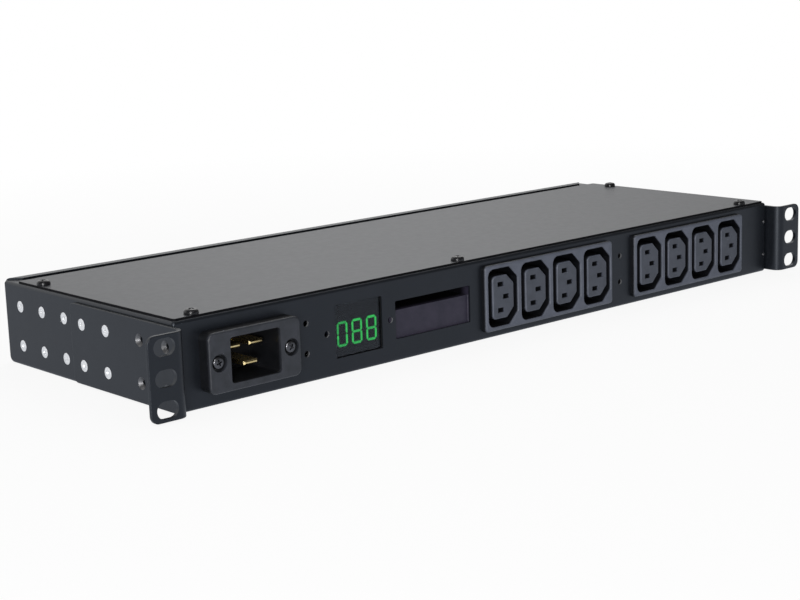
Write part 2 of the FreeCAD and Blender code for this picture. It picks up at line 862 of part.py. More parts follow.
def make_board_screws():
    """Screws that hold the meter board on its posts."""
    return [pan_screw(V(x, y, meter_board_top), V(0, 0, -1), board_screw_head, board_screw_head_height,
                      board_screw_head_round, board_screw_shank, board_screw_length)
            for x, y in post_places()]


def make_header():
    """Pin header in the corner between the two boards."""
    return box((display_x - header_width / 2, meter_board_y, meter_board_top),
               (display_x + header_width / 2, meter_board_y + header_depth, meter_board_top + header_height))


def make_transformer():
    """Ring-shaped current transformer on its foot; the live lead passes through it."""
    x = display_x - transformer_shift - transformer_thickness / 2
    y = front + transformer_from_panel
    along = V(1, 0, 0)
    ring = bar(V(x, y, line_z), along, transformer_diameter, transformer_thickness)
    foot = box((x, y - transformer_foot / 2, meter_board_top),
               (x + transformer_thickness, y + transformer_foot / 2, line_z))
    bore = bar(V(x, y, line_z), along, transformer_bore, transformer_thickness)
    return ring.fuse(foot).removeSplitter().cut(bore)


def make_power_module():
    """Encapsulated supply of the meter."""
    near = front + power_from_panel
    return box((display_x - power_width / 2, near, meter_board_top),
               (display_x + power_width / 2, near + power_length, meter_board_top + power_height))


def make_capacitor():
    """Round capacitor on the meter board."""
    place = V(display_x - capacitor_shift, front + capacitor_from_panel, meter_board_top)
    return bar(place, V(0, 0, 1), capacitor_diameter, capacitor_height)


def terminal_y(way):
    """Middle of one way of the terminal block, 0 or 1."""
    return front + terminal_from_panel + terminal_length / 2 + (way - 0.5) * terminal_pitch


def make_terminal_block():
    """Two-way terminal block for the meter's supply, with a wire hole for each way."""
    near = front + terminal_from_panel
    body = box((terminal_right - terminal_width, near, meter_board_top),
               (terminal_right, near + terminal_length, meter_board_top + terminal_height))
    mouths = [bar(V(terminal_right, terminal_y(way), terminal_wire_z), V(-1, 0, 0),
                  meter_lead_diameter + 2 * screw_clearance, terminal_hole_depth) for way in (0, 1)]
    return body.cut(mouths)


def make_route(points, diameter):
    """Round lead along straight runs joined by bends."""
    edges = []
    start = points[0]
    for index in range(1, len(points) - 1):
        here = points[index]
        before = points[index - 1] - here
        after = points[index + 1] - here
        before.normalize()
        after.normalize()
        half_angle = before.getAngle(after) / 2
        reach = lead_bend / math.tan(half_angle)
        bisector = before + after
        bisector.normalize()
        entry = here + before * reach
        leave = here + after * reach
        middle = here + bisector * (lead_bend / math.sin(half_angle) - lead_bend)
        edges.append(Part.makeLine(start, entry))
        edges.append(Part.Arc(entry, middle, leave).toShape())
        start = leave
    edges.append(Part.makeLine(start, points[-1]))
    profile = Part.Wire([Part.makeCircle(diameter / 2, points[0], points[1] - points[0])])
    return Part.Wire(edges).makePipeShell([profile], True, False)


def make_sleeve(x, z, y):
    """Insulated push-on receptacle over a tab that stands out from y."""
    near = y + sleeve_gap
    shell = level_box(x, sleeve_width, near, near + sleeve_length, z, sleeve_height)
    pocket = level_box(x, tab_width + 2 * sleeve_fit, near, y + tab_length + sleeve_gap,
                       z, tab_thickness + 2 * sleeve_fit)
    return shell.cut(pocket)


def lead_end(x, z, y):
    """Point inside a sleeve where its lead starts."""
    return V(x, y + sleeve_gap + lead_entry, z)


def make_lead(points, diameter, ends):
    """Lead with its sleeves or ring, as one crimped piece."""
    return make_route(points, diameter).multiFuse(ends).removeSplitter()


def feed_x(bank_x):
    return bank_x - feed_tab_from_middle


def link_x(bank_x):
    return bank_x + feed_tab_from_middle


def make_live_lead():
    """From the inlet, through the current transformer, to the left block's live strip."""
    x = inlet_x + blade_gap / 2
    run_y = front + transformer_from_panel
    end_x = feed_x(left_bank_x)
    points = [lead_end(x, line_z, inlet_back), V(x, run_y, line_z), V(end_x - lead_slope, run_y, line_z),
              V(end_x, run_y, live_row), lead_end(end_x, live_row, strip_tab_y)]
    ends = [make_sleeve(x, line_z, inlet_back), make_sleeve(end_x, live_row, strip_tab_y)]
    return make_lead(points, lead_diameter, ends)


def make_neutral_lead():
    """From the inlet to the left block's neutral strip."""
    x = inlet_x - blade_gap / 2
    run_y = front + neutral_from_panel
    end_x = feed_x(left_bank_x)
    points = [lead_end(x, line_z, inlet_back), V(x, run_y, line_z), V(end_x - lead_slope, run_y, line_z),
              V(end_x, run_y, neutral_row), lead_end(end_x, neutral_row, strip_tab_y)]
    ends = [make_sleeve(x, line_z, inlet_back), make_sleeve(end_x, neutral_row, strip_tab_y)]
    return make_lead(points, lead_diameter, ends)


def make_ring(level, along):
    """Ring terminal on the earth stud, with its tongue along a unit vector; level counts from the floor."""
    z = deck + level * ring_thickness
    ring = bar(V(stud_x, stud_y, z), V(0, 0, 1), ring_diameter, ring_thickness)
    corners = [(0, -ring_diameter / 4, 0), (ring_tongue, -ring_diameter / 4, 0),
               (ring_tongue, ring_diameter / 4, 0), (0, ring_diameter / 4, 0)]
    tongue = prism(corners, lambda u, v: V(stud_x + along.x * u - along.y * v,
                                           stud_y + along.y * u + along.x * v, z), V(0, 0, ring_thickness))
    hole = bar(V(stud_x, stud_y, z), V(0, 0, 1), stud_diameter + 2 * screw_clearance, ring_thickness)
    return ring.fuse(tongue).removeSplitter().cut(hole)


def ring_lead_start(level, along):
    """Point where a lead starts on its ring terminal's tongue."""
    place = V(stud_x, stud_y, deck + level * ring_thickness + lead_diameter / 2 + thread_gap)
    return place + along * (ring_tongue - ring_lead_lap)


def make_earth_lead():
    """From the inlet's earth blade to the stud on the floor."""
    along = V(0, -1, 0)
    start = ring_lead_start(0, along)
    turn_y = inlet_back + sleeve_length + earth_lead_back
    points = [lead_end(inlet_x, earth_z, inlet_back), V(inlet_x, turn_y, earth_z),
              V(stud_x, turn_y + lead_slope / 2, start.z), start]
    return make_lead(points, lead_diameter, [make_sleeve(inlet_x, earth_z, inlet_back), make_ring(0, along)])


def make_bond_lead():
    """From the stud to the left block's earth strip."""
    along = V(1, 0, 0)
    start = ring_lead_start(1, along)
    run_y = front + bond_from_panel
    end_x = feed_x(left_bank_x)
    points = [start, V(stud_x + ring_tongue + bond_step, stud_y, start.z),
              V(stud_x + ring_tongue + 2 * bond_step, run_y, start.z),
              V(end_x - bond_slope, run_y, start.z), V(end_x, run_y - bond_slope, row_z),
              lead_end(end_x, row_z, strip_tab_y)]
    return make_lead(points, lead_diameter, [make_ring(1, along), make_sleeve(end_x, row_z, strip_tab_y)])


def make_link(row):
    """Short lead that joins a row's strips in the two blocks."""
    z = contact_rows()[row][0]
    start_x = link_x(left_bank_x)
    end_x = feed_x(right_bank_x)
    start = lead_end(start_x, z, strip_tab_y)
    end = lead_end(end_x, z, strip_tab_y)
    run_y = start.y + link_back
    points = [start, V(start_x, run_y, z), V(end_x, run_y, z), end]
    ends = [make_sleeve(start_x, z, strip_tab_y), make_sleeve(end_x, z, strip_tab_y)]
    return make_lead(points, lead_diameter, ends)


def make_meter_lead(row, way):
    """Thin lead from the terminal block, under the card bay, to the left block's strip."""
    z = contact_rows()[row][0]
    end_x = feed_x(left_bank_x) + meter_tab_from_feed
    low_z = deck + meter_lead_rise
    turn_x = bay_x + bay_width / 2 - way * meter_lead_step
    run_y = front + card_slot_depth + meter_lead_back + way * meter_lead_step
    wire_y = terminal_y(way)
    level_end = terminal_right + meter_lead_slope
    points = [V(terminal_right - meter_lead_inset, wire_y, terminal_wire_z),
              V(level_end, wire_y, terminal_wire_z), V(level_end + meter_lead_slope, wire_y, low_z),
              V(turn_x, wire_y, low_z), V(turn_x, run_y, low_z), V(end_x, run_y, low_z),
              V(end_x, run_y - meter_lead_slope, z), lead_end(end_x, z, strip_tab_y)]
    return make_lead(points, meter_lead_diameter, [make_sleeve(end_x, z, strip_tab_y)])


def make_stud():
    """Threaded stud welded to the floor."""
    return bar(V(stud_x, stud_y, deck), V(0, 0, 1), stud_diameter, stud_height)


def make_stud_nut():
    """Nut that clamps the two ring terminals on the stud."""
    return nut(V(stud_x, stud_y, deck + 2 * ring_thickness), V(0, 0, 1), stud_nut, stud_nut_height,
               stud_diameter + 2 * thread_gap)


def make_parts():
    """All pieces by name; a list is a group of like fasteners or bars."""
    right_ear = make_right_ear()
    live_blade = make_blade(inlet_x + blade_gap / 2, line_z, line_blade_setback)
    neutral_blade = make_blade(inlet_x - blade_gap / 2, line_z, line_blade_setback)
    earth_blade = make_blade(inlet_x, earth_z, earth_blade_setback)
    lit_bars, dark_bars = make_digits()
    parts = {
        "case": make_case(),
        "top_cover": make_cover(),
        "rack_ear_right": right_ear,
        "rack_ear_left": mirrored(right_ear),
        "ear_screws": make_ear_screws(),
        "spare_ear_screws": make_spare_screws(),
        "side_clinch_nuts": make_side_nuts(),
        "cover_screws": make_cover_screws(),
        "cover_clinch_nuts": make_cover_nuts(),
        "corner_rivets": make_rivets(),
        "inlet_housing": make_inlet([live_blade, neutral_blade, earth_blade]),
        "inlet_live_blade": live_blade,
        "inlet_neutral_blade": neutral_blade,
        "inlet_earth_blade": earth_blade,
        "inlet_screws": make_inlet_screws(),
        "inlet_nuts": make_inlet_nuts(),
        "display_gasket": make_gasket(),
        "display_window": make_lens(),
        "display_module": make_display_module(lit_bars + dark_bars),
        "lit_segments": lit_bars,
        "unlit_segment": dark_bars,
        "display_board": make_display_board(),
        "card_bay": make_bay(),
        "meter_board": make_meter_board(),
        "board_posts": make_posts(),
        "board_screws": make_board_screws(),
        "board_header": make_header(),
        "current_transformer": make_transformer(),
        "power_module": make_power_module(),
        "filter_capacitor": make_capacitor(),
        "terminal_block": make_terminal_block(),
        "earth_stud": make_stud(),
        "earth_stud_nut": make_stud_nut(),
        "live_lead": make_live_lead(),
        "neutral_lead": make_neutral_lead(),
        "earth_lead": make_earth_lead(),
        "earth_bond_lead": make_bond_lead(),
        "meter_live_lead": make_meter_lead("live", 1),
        "meter_neutral_lead": make_meter_lead("neutral", 0),
    }
    for row in ("live", "neutral", "earth"):
        tabs = [feed_x(left_bank_x), link_x(left_bank_x)]
        if row != "earth":
            tabs.append(feed_x(left_bank_x) + meter_tab_from_feed)
        parts[row + "_strip_left"] = make_strip(left_bank_x, row, tabs)
        parts[row + "_strip_right"] = make_strip(right_bank_x, row, [feed_x(right_bank_x)])
        parts[row + "_link"] = make_link(row)
    parts["outlet_block_left"] = make_outlet_block(left_bank_x)
    parts["outlet_block_right"] = make_outlet_block(right_bank_x)
    return parts


os.makedirs("parts", exist_ok=True)
for name, piece in make_parts().items():
    if isinstance(piece, list):
        piece = Part.makeCompound(piece)
    piece.exportStep("parts/" + name + ".step")
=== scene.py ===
import json
import math
from collections import namedtuple

import bmesh
import bpy
from mathutils import Matrix, Vector


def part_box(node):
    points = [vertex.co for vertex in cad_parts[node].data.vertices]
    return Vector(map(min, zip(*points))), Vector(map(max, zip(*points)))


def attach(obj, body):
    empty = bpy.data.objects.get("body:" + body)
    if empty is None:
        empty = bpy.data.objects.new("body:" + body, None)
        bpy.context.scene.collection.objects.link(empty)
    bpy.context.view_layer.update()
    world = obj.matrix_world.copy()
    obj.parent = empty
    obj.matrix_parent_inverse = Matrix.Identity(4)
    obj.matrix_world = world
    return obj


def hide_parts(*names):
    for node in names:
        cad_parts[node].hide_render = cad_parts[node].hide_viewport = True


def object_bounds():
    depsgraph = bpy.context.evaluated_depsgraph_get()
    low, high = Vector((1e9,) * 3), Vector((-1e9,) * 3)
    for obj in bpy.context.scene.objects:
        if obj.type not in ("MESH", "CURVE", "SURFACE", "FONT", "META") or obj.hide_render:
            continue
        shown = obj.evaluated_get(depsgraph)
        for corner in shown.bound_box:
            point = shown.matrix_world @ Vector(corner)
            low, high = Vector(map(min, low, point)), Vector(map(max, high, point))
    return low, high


# Rack power distribution unit: finishes, detailed screws and studio. Metres.
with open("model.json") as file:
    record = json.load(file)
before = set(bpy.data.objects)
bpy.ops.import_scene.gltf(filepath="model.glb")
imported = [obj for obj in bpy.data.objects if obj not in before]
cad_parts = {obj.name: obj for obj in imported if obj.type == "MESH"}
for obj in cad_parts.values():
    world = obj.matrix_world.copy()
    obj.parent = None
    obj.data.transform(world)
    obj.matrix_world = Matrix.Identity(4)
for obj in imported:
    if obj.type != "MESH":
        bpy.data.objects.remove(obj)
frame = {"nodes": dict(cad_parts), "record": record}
cad_low, cad_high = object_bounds()

MM = 0.001

# Camera of the photograph, solved from the unit's straight edges
CAMERA_PLACE = Vector((-0.62653, -0.60452, 0.17990))
CAMERA_TARGET = Vector((-0.04258, 0.05540, -0.00314))
CAMERA_ROLL = math.radians(-1.8946)
CAMERA_LENS = 74.85
SENSOR_WIDTH = 36.0

# Studio. Near the unit a share of the floor is paint, which takes the shadow; the rest of it glows.
# In reflections the world is gloomy at the front and white at the rear.
FLOOR_SIZE = 12.0
FLOOR_PAINT = (0.92, 0.92, 0.92, 1.0)
FLOOR_SHADOW = 0.12
SHADOW_NEAR = 0.35
SHADOW_FAR = 0.90
WORLD_AMBIENT = 0.42
FRONT_GLOOM = 0.15
GLOOM_FROM = 0.20
GLOOM_TO = 0.70
WHITE = (1.0, 1.0, 1.0, 1.0)
MIRRORED_FLOOR = (0.66, 0.70, 0.77, 1.0)

# Lamps: place, aim, width and height in metres, power in watts
Lamp = namedtuple("Lamp", "name place aim width height power")
LAMPS = (
    Lamp("key", (-1.05, -1.05, 0.95), (0, 0, 0), 0.50, 0.50, 10),
    Lamp("edge", (-1.25, -1.05, 0.17), (0, 0, 0), 0.45, 0.33, 17),
    Lamp("top", (0.80, 0.80, 1.15), (0, 0.08, 0), 1.0, 1.0, 5),
)

# Faces with a finish of their own, among them painted shade and a painted highlight: how their normals lean,
# where they lie and how large they are
FLAT_LIMIT = 0.9
WALL_LIMIT = 0.3
FRONT_REACH = 0.1 * MM
PANEL_REACH = 1.1 * MM
HOLE_REACH = 4.8 * MM
NOSE_LIMIT = 30 * MM
SMALL_HOLE = 6 * MM
CORNER_DIGITS = 6

# Screws. A recess spans and is wide by half measures, and narrows by its taper towards its depth.
Recess = namedtuple("Recess", "depth span width taper")
FLUSH_RECESS = Recess(0.8 * MM, 1.15 * MM, 0.32 * MM, 0.55)
COVER_RECESS = Recess(1.6 * MM, 1.9 * MM, 0.45 * MM, 0.4)
INLET_RECESS = Recess(1.2 * MM, 1.7 * MM, 0.40 * MM, 0.4)
RECESS_RISE = 0.4 * MM
FLUSH_SHANK = 2.9 * MM
FLUSH_EDGE = 0.2 * MM
FLUSH_EDGE_STEPS = 3
FLUSH_TIP_FROM = 0.9
COVER_SHANK = 3.4 * MM
COVER_ROUND = 1.5 * MM
INLET_SHANK = 2.9 * MM
INLET_ROUND = 1.1 * MM
INLET_HEAD = 1.8 * MM
PAN_ROUND_STEPS = 6
PAN_TIP_FROM = 0.85
CROWN_SHARE = 0.12
KNEE_PLACE = 0.35
KNEE_FALL = 0.1
TIP_SHARE = 0.35
LATHE_STEPS = 48
ON_AXIS = 1e-9
SPIN_START = 20
SPIN_STEP = 37
SMOOTH_ANGLE = math.radians(35)

# Insulation of the earth lead
STRIPE_SCALE = 60.0


def colour(red, green, blue):
    """Linear colour with full cover."""
    return (red, green, blue, 1.0)


def ranged(tree, source, start, end, low, high):
    """Number that runs from low to high while the source runs from start to end."""
    made = tree.nodes.new("ShaderNodeMapRange")
    made.inputs["From Min"].default_value = start
    made.inputs["From Max"].default_value = end
    made.inputs["To Min"].default_value = low
    made.inputs["To Max"].default_value = high
    tree.links.new(source, made.inputs["Value"])
    return made.outputs["Result"]


class Finish:
    """A node material in the unit's own metres. Its plain colour and gloss can be varied afterwards."""

    def __init__(self, name, base, roughness, metallic=0.0, specular=0.5):
        self.material = bpy.data.materials.new(name)
        self.material.use_nodes = True
        self.tree = self.material.node_tree
        self.shader = self.tree.nodes["Principled BSDF"]
        self.set("Base Color", base)
        self.set("Roughness", roughness)
        self.set("Metallic", metallic)
        self.set("Specular IOR Level", specular)
        self.place = self.node("ShaderNodeTexCoord").outputs["Object"]

    def set(self, socket, value):
        """A value that is the same all over the surface."""
        self.shader.inputs[socket].default_value = value

    def node(self, kind, **settings):
        """A new node with its properties set."""
        made = self.tree.nodes.new(kind)
        for name, value in settings.items():
            setattr(made, name, value)
        return made

    def join(self, source, target):
        """Links two sockets."""
        self.tree.links.new(source, target)

    def noise(self, grain, detail=2.0, stretch=(1.0, 1.0, 1.0)):
        """Noise whose features are about grain metres across; stretch draws it out along an axis."""
        mapping = self.node("ShaderNodeMapping")
        mapping.inputs["Scale"].default_value = [1.0 / factor for factor in stretch]
        self.join(self.place, mapping.inputs["Vector"])
        made = self.node("ShaderNodeTexNoise")
        made.inputs["Scale"].default_value = 1.0 / grain
        made.inputs["Detail"].default_value = detail
        self.join(mapping.outputs["Vector"], made.inputs["Vector"])
        return made.outputs["Fac"]

    def ramp(self, source, low, high, start=0.3, end=0.7):
        """Colour that runs from low to high while the source runs from start to end."""
        made = self.node("ShaderNodeValToRGB")
        made.color_ramp.elements[0].position = start
        made.color_ramp.elements[0].color = low
        made.color_ramp.elements[1].position = end
        made.color_ramp.elements[1].color = high
        self.join(source, made.inputs["Fac"])
        return made.outputs["Color"]

    def span(self, source, low, high, start=0.3, end=0.7):
        """Number that runs from low to high while the source runs from start to end."""
        return ranged(self.tree, source, start, end, low, high)

    def mottle(self, grain, low, high):
        """Colour that varies softly between two shades."""
        self.join(self.ramp(self.noise(grain), low, high), self.shader.inputs["Base Color"])

    def vary_gloss(self, grain, low, high):
        """Roughness that varies softly between two values."""
        self.join(self.span(self.noise(grain), low, high), self.shader.inputs["Roughness"])

    def paint_depth_shade(self, face, near, far, share):
        """Painted shade: darkens the base colour to a share, between two depths behind a front face."""
        parts = self.node("ShaderNodeSeparateXYZ")
        self.join(self.place, parts.inputs["Vector"])
        depth = self.span(parts.outputs["Y"], 1.0, share, face + near, face + far)
        product = self.node("ShaderNodeMix", data_type="RGBA", blend_type="MULTIPLY")
        product.inputs["Factor"].default_value = 1.0
        base = self.shader.inputs["Base Color"]
        self.join(base.links[0].from_socket, product.inputs["A"])
        self.join(depth, product.inputs["B"])
        self.join(product.outputs["Result"], base)

    def relief(self, source, height):
        """Bump of a real height in metres, laid over any bump that is there already."""
        bump = self.node("ShaderNodeBump")
        bump.inputs["Distance"].default_value = height
        bump.inputs["Strength"].default_value = 1.0
        self.join(source, bump.inputs["Height"])
        normal = self.shader.inputs["Normal"]
        if normal.is_linked:
            self.join(normal.links[0].from_socket, bump.inputs["Normal"])
        self.join(bump.outputs["Normal"], normal)


def powder_coat():
    """Fine black powder coat: a soft orange peel under a fine grain."""
    finish = Finish("powder_coat", colour(0.004, 0.005, 0.007), roughness=0.38, specular=0.45)
    finish.set("Specular Tint", colour(0.84, 0.90, 1.0))
    finish.mottle(grain=14 * MM, low=colour(0.0035, 0.0044, 0.0062), high=colour(0.0045, 0.0056, 0.0078))
    finish.vary_gloss(grain=4 * MM, low=0.375, high=0.395)
    finish.relief(finish.noise(grain=1.6 * MM), height=0.004 * MM)
    finish.relief(finish.noise(grain=0.35 * MM), height=0.004 * MM)
    return finish


def cover_edge_shade():
    """Dull black on the cover's edges, a painted shade that stands for the dark gap along them."""
    # Painted shade: near-black with little gloss, so the edges read dark.
    finish = Finish("cover_edge_shade", colour(0.003, 0.003, 0.004), roughness=0.60, specular=0.08)
    finish.mottle(grain=3 * MM, low=colour(0.002, 0.002, 0.003), high=colour(0.004, 0.004, 0.005))
    finish.vary_gloss(grain=1 * MM, low=0.55, high=0.70)
    return finish


def zinc_plate():
    """Pale zinc plate with a faint grain."""
    finish = Finish("zinc_plate", colour(0.70, 0.71, 0.72), roughness=0.34, metallic=0.45)
    finish.mottle(grain=1.2 * MM, low=colour(0.62, 0.63, 0.65), high=colour(0.78, 0.785, 0.79))
    finish.vary_gloss(grain=0.6 * MM, low=0.28, high=0.42)
    finish.relief(finish.noise(grain=0.25 * MM), height=0.004 * MM)
    return finish


def hole_wall_highlight():
    """Light grey on the walls of the panel's holes, a painted highlight that shows them as lit crescents."""
    # Painted highlight: the walls are much lighter than the black coat round them.
    finish = Finish("hole_wall_highlight", colour(0.105, 0.107, 0.115), roughness=0.50, specular=0.40)
    finish.mottle(grain=0.8 * MM, low=colour(0.085, 0.087, 0.093), high=colour(0.125, 0.127, 0.135))
    finish.vary_gloss(grain=0.6 * MM, low=0.45, high=0.60)
    return finish


def threaded_zinc():
    """Zinc plate on the threads of the nuts, which scatter the light."""
    finish = Finish("threaded_zinc", colour(0.70, 0.71, 0.72), roughness=0.60, metallic=0.15)
    finish.mottle(grain=0.8 * MM, low=colour(0.62, 0.63, 0.65), high=colour(0.78, 0.79, 0.80))
    finish.vary_gloss(grain=0.6 * MM, low=0.55, high=0.70)
    return finish


def bare_steel():
    """Uncoated steel in the countersinks of the ears' open holes, and on the corner rivets."""
    finish = Finish("bare_steel", colour(0.16, 0.16, 0.165), roughness=0.45, metallic=1.0)
    finish.mottle(grain=0.6 * MM, low=colour(0.135, 0.135, 0.14), high=colour(0.185, 0.185, 0.19))
    finish.vary_gloss(grain=0.5 * MM, low=0.38, high=0.52)
    return finish


def dull_steel():
    """Darkened steel of the inlet's screws."""
    finish = Finish("dull_steel", colour(0.11, 0.11, 0.12), roughness=0.30, metallic=1.0)
    finish.mottle(grain=0.8 * MM, low=colour(0.085, 0.085, 0.09), high=colour(0.14, 0.14, 0.15))
    finish.vary_gloss(grain=0.5 * MM, low=0.24, high=0.36)
    return finish


def black_screw():
    """Black oxide on steel, with slightly uneven gloss."""
    finish = Finish("black_screw", colour(0.006, 0.006, 0.007), roughness=0.26, specular=0.35)
    finish.mottle(grain=0.8 * MM, low=colour(0.004, 0.004, 0.005), high=colour(0.009, 0.009, 0.010))
    finish.vary_gloss(grain=0.5 * MM, low=0.20, high=0.34)
    return finish


def moulded(name, dark, light, roughness, specular, grain):
    """Moulded plastic with a spark-eroded texture of the given grain."""
    finish = Finish(name, light, roughness=roughness, specular=specular)
    finish.mottle(grain=6 * MM, low=dark, high=light)
    finish.vary_gloss(grain=2 * MM, low=roughness - 0.04, high=roughness + 0.05)
    finish.relief(finish.noise(grain, detail=3.0), height=0.012 * MM)
    return finish


def plated(name, dark, light, roughness):
    """Plated contact metal with fine lines drawn from front to back."""
    finish = Finish(name, light, roughness=roughness, metallic=1.0)
    finish.mottle(grain=1.5 * MM, low=dark, high=light)
    finish.vary_gloss(grain=0.8 * MM, low=roughness - 0.05, high=roughness + 0.08)
    finish.relief(finish.noise(grain=0.12 * MM, stretch=(1.0, 30.0, 1.0)), height=0.003 * MM)
    return finish


def window_tint():
    """Smoke-tinted window with a slightly matt face."""
    finish = Finish("window_tint", colour(0.27, 0.32, 0.40), roughness=0.22, specular=0.22)
    finish.set("Specular Tint", colour(0.84, 0.90, 1.0))
    finish.set("Transmission Weight", 1.0)
    finish.set("IOR", 1.50)
    finish.vary_gloss(grain=3 * MM, low=0.18, high=0.26)
    finish.relief(finish.noise(grain=0.5 * MM), height=0.002 * MM)
    return finish


def lit_green():
    """Glowing green bars of slightly uneven brightness."""
    finish = Finish("lit_green", colour(0.02, 0.10, 0.03), roughness=0.4)
    glow = finish.ramp(finish.noise(grain=0.9 * MM), colour(0.035, 0.72, 0.11), colour(0.055, 0.90, 0.15))
    finish.join(glow, finish.shader.inputs["Emission Color"])
    finish.set("Emission Strength", 1.0)
    return finish


def board_laminate():
    """Green solder resist with a faint grain along the board."""
    finish = Finish("board_laminate", colour(0.012, 0.10, 0.045), roughness=0.35)
    finish.mottle(grain=3 * MM, low=colour(0.010, 0.085, 0.038), high=colour(0.015, 0.115, 0.05))
    finish.relief(finish.noise(grain=0.4 * MM, stretch=(4.0, 1.0, 1.0)), height=0.006 * MM)
    return finish


def lead_sleeve(name, dark, light):
    """Soft insulation of a lead, with slightly uneven gloss."""
    finish = Finish(name, light, roughness=0.45)
    finish.mottle(grain=5 * MM, low=dark, high=light)
    finish.vary_gloss(grain=2 * MM, low=0.40, high=0.55)
    return finish


def earth_sleeve():
    """Green insulation with yellow stripes."""
    green = colour(0.03, 0.22, 0.03)
    yellow = colour(0.62, 0.50, 0.03)
    finish = Finish("earth_green_lead", green, roughness=0.45)
    wave = finish.node("ShaderNodeTexWave", bands_direction="DIAGONAL")
    wave.inputs["Scale"].default_value = STRIPE_SCALE
    finish.join(finish.place, wave.inputs["Vector"])
    stripe = finish.ramp(wave.outputs["Fac"], green, yellow, start=0.55, end=0.62)
    finish.join(stripe, finish.shader.inputs["Base Color"])
    finish.vary_gloss(grain=2 * MM, low=0.40, high=0.55)
    return finish


def inlet_plastic():
    """Black plastic of the inlet; all that lies behind its face is darker, a painted shade."""
    finish = moulded("inlet_plastic", colour(0.016, 0.018, 0.022), colour(0.025, 0.027, 0.034),
                     roughness=0.40, specular=0.35, grain=0.5 * MM)
    # Painted shade: the base colour falls to a share between two depths behind the inlet's face.
    finish.paint_depth_shade(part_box("inlet_housing")[0].y, near=0.6 * MM, far=2.2 * MM, share=0.22)
    return finish


def outlet_plastic(name, dark, light):
    """Grey plastic of the outlets; the depths of their recesses and slots are darker, a painted shade."""
    finish = moulded(name, dark, light, roughness=0.42, specular=0.30, grain=0.3 * MM)
    # Painted shade in the depths of the recesses and slots, behind the blocks' face.
    finish.paint_depth_shade(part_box("outlet_block_left")[0].y, near=0.3 * MM, far=1.3 * MM, share=0.06)
    return finish


def bay_plastic():
    """Black plastic of the card bay with a purple cast; the depth of its slot is darker, a painted shade."""
    finish = moulded("bay_plastic", colour(0.018, 0.0165, 0.028), colour(0.025, 0.022, 0.036),
                     roughness=0.42, specular=0.28, grain=0.4 * MM)
    # Painted shade in the depth of the slot.
    finish.paint_depth_shade(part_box("card_bay")[0].y, near=2.4 * MM, far=6 * MM, share=0.1)
    return finish


def make_finishes():
    """One finish for each material slot of the record."""
    return {
        "powder_coat": powder_coat(),
        "zinc_plate": zinc_plate(),
        "black_screw": black_screw(),
        "inlet_plastic": inlet_plastic(),
        "outlet_plastic": outlet_plastic("outlet_plastic", colour(0.064, 0.072, 0.093),
                                         colour(0.080, 0.088, 0.114)),
        "bay_plastic": bay_plastic(),
        "brass": plated("brass", colour(0.70, 0.54, 0.24), colour(0.86, 0.70, 0.38), roughness=0.26),
        "tinned_copper": plated("tinned_copper", colour(0.55, 0.52, 0.47), colour(0.72, 0.70, 0.66),
                                roughness=0.30),
        "gasket_foam": moulded("gasket_foam", colour(0.006, 0.006, 0.006), colour(0.011, 0.011, 0.011),
                               roughness=0.80, specular=0.20, grain=0.4 * MM),
        "window_tint": window_tint(),
        "module_plastic": moulded("module_plastic", colour(0.009, 0.012, 0.020), colour(0.012, 0.016, 0.026),
                                  roughness=0.50, specular=0.25, grain=0.4 * MM),
        "lit_green": lit_green(),
        "unlit_bar": moulded("unlit_bar", colour(0.012, 0.016, 0.014), colour(0.016, 0.021, 0.018),
                             roughness=0.45, specular=0.35, grain=0.3 * MM),
        "board_laminate": board_laminate(),
        "black_plastic": moulded("black_plastic", colour(0.012, 0.012, 0.012), colour(0.020, 0.020, 0.020),
                                 roughness=0.40, specular=0.45, grain=0.4 * MM),
        "transformer_blue": moulded("transformer_blue", colour(0.015, 0.07, 0.24), colour(0.02, 0.09, 0.30),
                                    roughness=0.40, specular=0.45, grain=0.5 * MM),
        "capacitor_sleeve": moulded("capacitor_sleeve", colour(0.012, 0.014, 0.022),
                                    colour(0.020, 0.022, 0.034),
                                    roughness=0.30, specular=0.50, grain=0.8 * MM),
        "terminal_green": moulded("terminal_green", colour(0.02, 0.22, 0.07), colour(0.03, 0.28, 0.09),
                                  roughness=0.42, specular=0.45, grain=0.4 * MM),
        "brown_lead": lead_sleeve("brown_lead", colour(0.09, 0.038, 0.016), colour(0.12, 0.050, 0.022)),
        "blue_lead": lead_sleeve("blue_lead", colour(0.02, 0.09, 0.34), colour(0.03, 0.12, 0.42)),
        "earth_green_lead": earth_sleeve(),
    }


def dress(piece, material):
    """Gives a piece one material."""
    piece.data.materials.clear()
    piece.data.materials.append(material)


def dress_nodes(finishes):
    """Every node gets the finish of its slot, except the nuts that show in the open holes."""
    for subpart in frame["record"]["subparts"]:
        dress(frame["nodes"][subpart["node"]], finishes[subpart["material_slot"]].material)
    dress(frame["nodes"]["side_clinch_nuts"], threaded_zinc().material)


def clusters(mesh, polygons):
    """The polygons in groups that hang together by their corners."""
    keys = [tuple(round(value, CORNER_DIGITS) for value in vertex.co) for vertex in mesh.vertices]
    leader = {}

    def root(key):
        leader.setdefault(key, key)
        while leader[key] != key:
            leader[key] = leader[leader[key]]
            key = leader[key]
        return key

    for polygon in polygons:
        first = root(keys[polygon.vertices[0]])
        for index in polygon.vertices[1:]:
            leader[root(keys[index])] = first
    groups = {}
    for polygon in polygons:
        groups.setdefault(root(keys[polygon.vertices[0]]), []).append(polygon)
    return list(groups.values())


def box_of(mesh, polygons):
    """Low and high corner of some of a mesh's polygons."""
    points = [mesh.vertices[index].co for polygon in polygons for index in polygon.vertices]
    low = Vector(min(point[axis] for point in points) for axis in range(3))
    high = Vector(max(point[axis] for point in points) for axis in range(3))
    return low, high


def islands(node):
    """Boxes of the separate solids in one node, as (low, high) corners."""
    mesh = frame["nodes"][node].data
    return [box_of(mesh, group) for group in clusters(mesh, mesh.polygons)]


